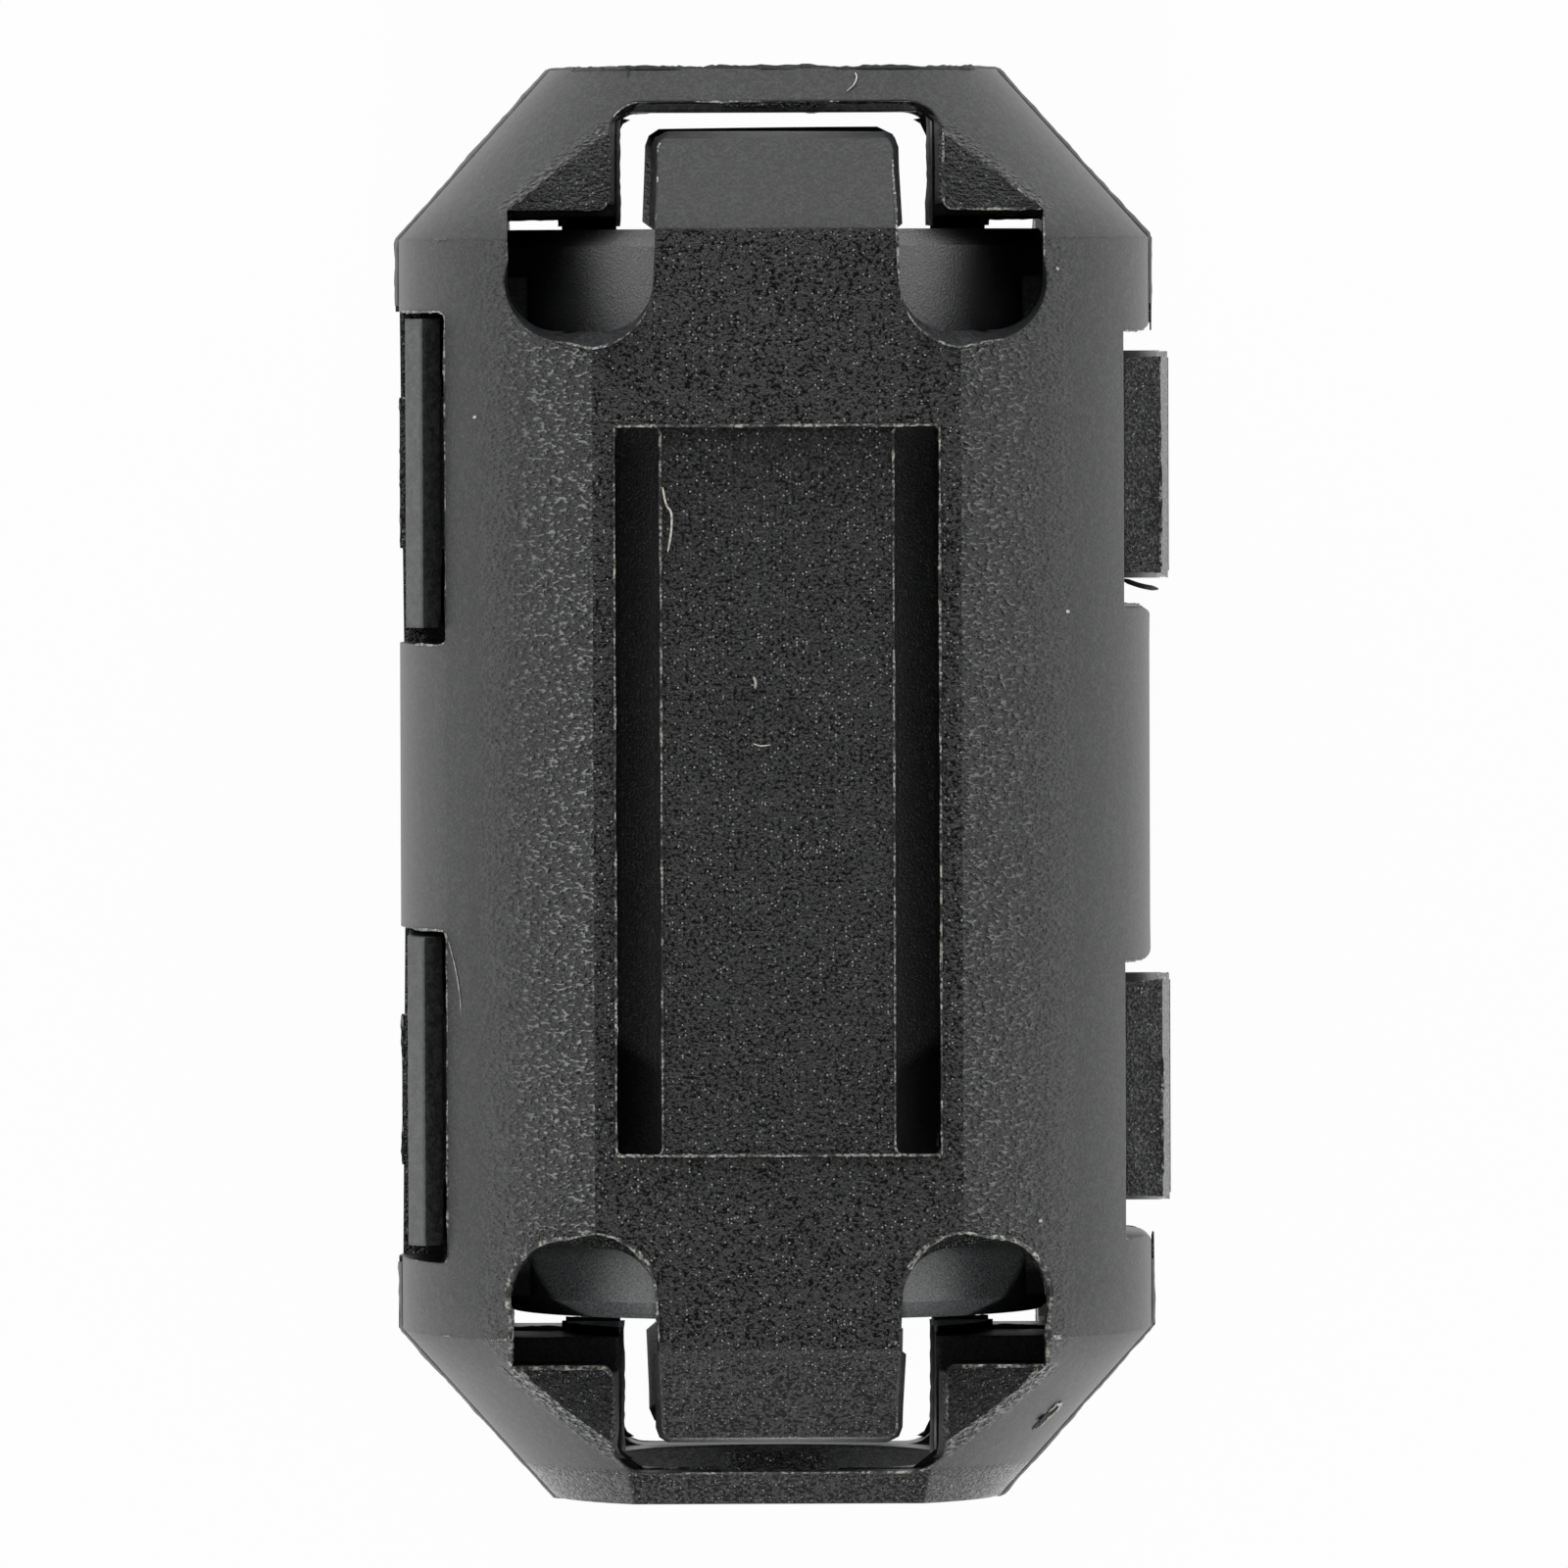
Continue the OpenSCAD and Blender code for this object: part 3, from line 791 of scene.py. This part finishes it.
for half, node in ((1, "upper_shell"), (-1, "lower_shell")):
    tongue = sharp_lines(node, TONGUE_TURN, lambda middle, out: round_tongue(middle, out, half))
    throat = sharp_lines(node, TONGUE_TURN, lambda middle, out: in_throat(middle, out, half))
    hung = Slivers()
    wedges(hung, tongue, UPPER_LEAN if half > 0 else LOWER_LEAN)
    wedges(hung, throat, THROAT_LEAN)
    skirt = hung.mesh(node.replace("shell", "draft"), NYLON)
    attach(skirt, node.replace("shell", "half"))
    print(skirt.name, "lines round tongues", len(tongue), "and in throats", len(throat))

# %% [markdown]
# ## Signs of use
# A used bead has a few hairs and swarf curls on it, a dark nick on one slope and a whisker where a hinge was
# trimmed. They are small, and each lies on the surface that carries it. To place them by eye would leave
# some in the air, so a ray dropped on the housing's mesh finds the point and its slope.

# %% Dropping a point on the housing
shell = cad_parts["upper_shell"].data
housing = BVHTree.FromPolygons([v.co for v in shell.vertices], [tuple(f.vertices) for f in shell.polygons])
ABOVE = 20


def dropped(x, y):
    """The point of the upper half's outside over (x, y) in millimetres, and its normal."""
    hit, normal, _, _ = housing.ray_cast(Vector((x, y, ABOVE)) * MM, Vector((0, 0, -1)))
    return hit, normal


print("middle of the stepped field, mm high:", round(dropped(0, 0)[0].z / MM, 2))

# %% [markdown]
# ## Threads
# A hair and a curl of swarf both look like a fine round thread. A curve with a bevel would do it in
# Blender's own way. Here the helper for closed skins is at hand: a smooth line runs through a few points,
# and a ring of corners follows it and thins at both ends.

# %% Threads
RING = 6
END_RADIUS = 0.35
ANY_WAY_BUT_ALONG = Vector((0.1, 0.2, 1))


def thread(name, spots, radius, material):
    """A round thread through spots. It starts and ends thin."""
    sections = []
    for i, spot in enumerate(spots):
        along = (spots[min(i + 1, len(spots) - 1)] - spots[max(i - 1, 0)]).normalized()
        across = along.cross(ANY_WAY_BUT_ALONG).normalized()
        third = along.cross(across)
        near_end = min(i, len(spots) - 1 - i) / 2
        r = radius * min(1.0, END_RADIUS + (1 - END_RADIUS) * near_end)
        sections.append([spot + across * r * math.cos(t) + third * r * math.sin(t)
                         for t in (math.tau * k / RING for k in range(RING))])
    piece = swept(name, sections, material)
    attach(piece, "upper_half")
    print(piece.name, "faces", len(piece.data.polygons))


def curve_through(points, count):
    """A smooth run of points through a few, by Catmull and Rom's formula."""
    ends = [points[0]] + list(points) + [points[-1]]
    out = []
    for i in range(len(points) - 1):
        a, b, c, d = (Vector(p) for p in ends[i:i + 4])
        for k in range(count):
            t = k / count
            out.append(0.5 * (2 * b + (c - a) * t + (2 * a - 5 * b + 4 * c - d) * t ** 2
                              + (3 * b - a - 3 * c + d) * t ** 3))
    out.append(Vector(points[-1]))
    return out


def strand(name, points, radius, lift):
    """A thread through (x, y) points on the housing, which rises off it by lift at its middle."""
    spots = [dropped(p.x, p.y) for p in curve_through([(x, y, 0) for x, y in points], 6)]
    spots = [hit + normal * (radius * 0.6 + lift * MM * math.sin(math.pi * i / (len(spots) - 1)))
             for i, (hit, normal) in enumerate(spots)]
    thread(name, spots, radius, FIBRE)


# %% Hairs and swarf
# Each has its points, its radius and how far it rises, in millimetres.
def fibre_finish():
    material, shader = new_material("pale_fibre", 1.5)
    place, _ = patterns(material)
    speck = noise(place, 9.0, 1.0, 0.5).step(0.35, 0.65)
    feed(place.tree, shader.inputs["Base Color"], speck.blend((0.42, 0.39, 0.33, 1), (0.78, 0.76, 0.71, 1)))
    feed(place.tree, shader.inputs["Roughness"], 0.55 - speck * 0.1)
    return material


FIBRE = fibre_finish()
threads = {
    "hair_end": ([(1.50, 14.50), (1.66, 14.62), (1.72, 14.78), (1.68, 14.90)], 0.014, 0.05),
    "swarf_curl": ([(-2.37, 6.30), (-2.30, 5.95), (-2.19, 5.75), (-2.20, 5.35), (-2.27, 4.95)], 0.022, 0.04),
    "swarf_chip": ([(-0.50, 2.36), (-0.46, 2.26), (-0.47, 2.12)], 0.030, 0.03),
    "hair_middle": ([(-0.52, 0.98), (-0.35, 0.93), (-0.15, 0.95)], 0.010, 0.03),
    "hair_flank": ([(-6.86, -3.2), (-6.72, -3.7), (-6.62, -4.3), (-6.60, -4.7)], 0.009, 0.01),
}
for name, (points, radius, lift) in threads.items():
    strand(name, points, radius * MM, lift)

# %% [markdown]
# ## Specks of dust
# Four grains of dust are large enough to see one by one. A particle system would scatter many, but
# these lie where they lie, so each is a small lump of its own: a ball whose points are pushed in and
# out by chance.

# %% Specks of dust
specks = [(-6.25, 7.75, 0.035), (5.85, 10.80, 0.032), (6.05, 3.66, 0.035), (5.42, -9.0, 0.034)]
LUMPY = 0.35
LONGER = 1.4
vertices, faces = [], []
for x, y, radius in specks:
    hit, normal = dropped(x, y)
    ball = bmesh.new()
    bmesh.ops.create_icosphere(ball, subdivisions=2, radius=radius * MM)
    first = len(vertices)
    for v in ball.verts:
        bump = 1 + draws.uniform(-LUMPY, LUMPY)
        vertices.append(hit + normal * radius * 0.3 * MM + Vector((v.co.x * LONGER, v.co.y, v.co.z)) * bump)
    faces += [tuple(first + v.index for v in f.verts) for f in ball.faces]
    ball.free()
dust_and_glints = mesh_object("dust_specks", vertices, faces, FIBRE)
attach(dust_and_glints, "upper_half")
print("specks", len(specks), "faces", len(faces))

# %% [markdown]
# ## A nick on a front slope
# One slope carries a small black scar with a pale rim and a burr at one side. The housing's mesh is the
# frame's and stays whole, so the scar lies on it as a very thin dark plate of ragged outline, and the rim
# and the burr are two threads round it.

# %% The scar's finish
def scar_finish():
    material, shader = new_material("dark_scar", 1.45)
    place, _ = patterns(material)
    crumb = noise(place, 12.0, 2.0, 0.6)
    feed(place.tree, shader.inputs["Base Color"],
         crumb.step(0.35, 0.7).blend((0.002, 0.002, 0.002, 1), (0.02, 0.02, 0.02, 1)))
    feed(place.tree, shader.inputs["Roughness"], 0.75 + (crumb - 0.5) * 0.3)
    print(material.name, "shader nodes", len(place.tree.nodes))
    return material


# %% A nick on a front slope
NICK_AT = (5.60, -13.22)
NICK_LONG, NICK_SHORT = 0.42, 0.17
NICK_POINTS = 20
centre, up = dropped(*NICK_AT)
long_way = Vector((0.72, 0.69, 0)).cross(up).normalized().cross(up).normalized()
short_way = up.cross(long_way)
floor_ring, rim_ring = [], []
for k in range(NICK_POINTS):
    t = math.tau * k / NICK_POINTS
    reach = (0.85 + draws.uniform(-0.15, 0.15)) * MM
    out = long_way * math.cos(t) * NICK_LONG + short_way * math.sin(t) * NICK_SHORT
    floor_ring.append(centre + out * reach + up * 0.012 * MM)
    rim_ring.append(centre + out * (reach + 0.12 * MM) + up * draws.uniform(0.01, 0.04) * MM)
scar = Slivers()
scar.add([floor_ring, [p - up * 0.05 * MM for p in floor_ring]])
nick = scar.mesh("nick_floor", scar_finish())
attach(nick, "upper_half")
print("nick length, mm:", round((floor_ring[0] - floor_ring[NICK_POINTS // 2]).length / MM, 2))
# The rim goes round most of the ring, and the burr stands where it stops.
RIM_FROM, RIM_TO = 3, 15
burr = [rim_ring[RIM_TO], rim_ring[RIM_TO + 1], rim_ring[RIM_TO + 2] + up * 0.05 * MM]
thread("nick_rim", rim_ring[RIM_FROM:RIM_TO], 0.028 * MM, FIBRE)
thread("nick_burr", burr, 0.05 * MM, PLAIN_NYLON)

# %% [markdown]
# ## A whisker beside the rear hinge
# Where surplus nylon was trimmed off beside a hinge leaf, a thin whisker was left standing. It is a
# thread that starts inside the wall and bends out past it.

# %% The whisker
root = Vector((7.30, 4.27, 0.9)) * MM
tip = Vector((8.06, 4.06, 0.75)) * MM
bend = (root + tip) / 2 + Vector((0.0, -0.03, 0.06)) * MM
thread("hinge_whisker", curve_through([root, bend, tip], 5), 0.055 * MM, PLAIN_NYLON)

# %% [markdown]
# ## Floor
# The bead lies on a white sweep. Under this soft light plain white paint would come out grey, so the
# camera sees nearly all glow, and the little paint that is left in the mix keeps the bead's shadow.
# Glossy rays see a white that grows stronger towards the front, but not straight ahead of the front
# end, so what mirrors it there is bright at the sides and dark in the middle.

# %% Floor
FLOOR_SIZE = 1.2
FLOOR_PAINT = (0.85, 0.85, 0.85, 1)
FLOOR_GLOSS = 1.2
GLOW_SHARE = 0.97
floor_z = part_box("lower_shell")[0].z
bpy.ops.mesh.primitive_plane_add(size=FLOOR_SIZE, location=(0, 0, floor_z))
floor = bpy.context.object
floor.name = "floor"
white = bpy.data.materials.new("sweep")
white.use_nodes = True
white.node_tree.nodes.clear()
ray = Wire(white.node_tree).make("ShaderNodeLightPath", output="Is Camera Ray")
gloss = ray.twin("Is Glossy Ray")
paint = ray.make("ShaderNodeBsdfDiffuse", {"Color": FLOOR_PAINT})
across, along, _ = ray.make("ShaderNodeNewGeometry", output="Position").parts()
ahead = (along / MM).step(-8, -40)
straight = (abs(across) / (abs(along) + MM)).step(0.55, 0.2) * ahead
shine = (ahead * 0.9 + FLOOR_GLOSS) * (1 - straight * 0.85)
glow = ray.make("ShaderNodeEmission", {"Color": (ray + gloss * shine).grey()})
both = ray.make("ShaderNodeMixShader", {0: (ray * GLOW_SHARE).most(gloss), 1: paint, 2: glow})
ray.make("ShaderNodeOutputMaterial", {"Surface": both})
floor.data.materials.append(white)
print("floor at, mm:", round(floor_z / MM, 2))

# %% [markdown]
# ## World
# The light is a plain soft one all round, weaker overhead, so level faces stay dark and steep ones
# brighten. Many area lamps could do that, but a gradient over the sky has no edges that would show
# in the nylon. The camera sees plain white in its place.

# %% World
OVERHEAD, RING_LIGHT = 0.1, 1.15
REAR_GAIN, FRONT_LOSS = 0.75, -0.8
world = bpy.data.worlds.new("studio")
scene.world = world
world.use_nodes = True
world.node_tree.nodes.clear()
ray = Wire(world.node_tree).make("ShaderNodeLightPath", output="Is Camera Ray")
_, along, up = ray.make("ShaderNodeTexCoord", output="Generated").parts()
ring = up.step(0.86, 0.45) * RING_LIGHT + OVERHEAD
ends = along.step(-0.15, -0.75) * FRONT_LOSS + along.step(0.2, 0.8) * REAR_GAIN + 1
soft = ray.make("ShaderNodeBackground", {"Color": (ring * ends).grey()})
plain = ray.make("ShaderNodeBackground", {"Color": (1, 1, 1, 1), "Strength": 1.0})
both = ray.make("ShaderNodeMixShader", {0: ray, 1: soft, 2: plain})
ray.make("ShaderNodeOutputWorld", {"Surface": both})
print("world shader nodes", len(world.node_tree.nodes))


# %% [markdown]
# ## Lamp
# The sky is darkest towards the front, so the slopes and ledges at that end would look flat. One
# small soft box ahead of them and above them gives them some shape. A sun would light the barrel too.

# %% Lamp
def softbox(name, place, size, watts):
    """A rectangular lamp that faces the bead."""
    lamp = bpy.data.lights.new(name, "AREA")
    lamp.shape = "RECTANGLE"
    lamp.size, lamp.size_y = size
    lamp.energy = watts
    holder = bpy.data.objects.new(name, lamp)
    scene.collection.objects.link(holder)
    holder.location = place
    holder.rotation_euler = Vector(place).to_track_quat("Z", "Y").to_euler()
    print(name, "watts", watts)


softbox("front_box", (0.0, -0.30, 0.26), size=(0.04, 0.03), watts=0.5)

# %% [markdown]
# ## Camera
# The bead is seen from almost straight above. A long lens from 45 cm keeps its walls nearly upright
# in the view, as an orthographic camera would, but lets the ends open up a little. The small tilts
# and the roll are those of a camera set up by hand.

# %% Camera
PX_PER_MM = 48.45
FRAME_PX = 1600
SENSOR = 36
REACH = 0.45
lean_x, lean_y, roll = (math.radians(a) for a in (-0.5, 1.4, 0.2))
eye = Vector((math.sin(lean_x), math.sin(lean_y), 1)).normalized()
aim = Vector((9 / PX_PER_MM, -1.5 / PX_PER_MM, 0)) * MM
camera = bpy.data.cameras.new("camera")
camera.sensor_width = SENSOR
camera.lens = SENSOR * REACH / (FRAME_PX / PX_PER_MM * MM)
camera.clip_start, camera.clip_end = 0.01, 10
holder = bpy.data.objects.new("camera", camera)
scene.collection.objects.link(holder)
side = Vector((0, 1, 0)).cross(eye).normalized()
top = eye.cross(side)
side, top = side * math.cos(roll) - top * math.sin(roll), side * math.sin(roll) + top * math.cos(roll)
holder.matrix_world = Matrix.Translation(aim + eye * REACH) @ Matrix((side, top, eye)).transposed().to_4x4()
scene.camera = holder
scene.view_settings.view_transform = "Standard"
print("lens, mm:", round(camera.lens, 1))
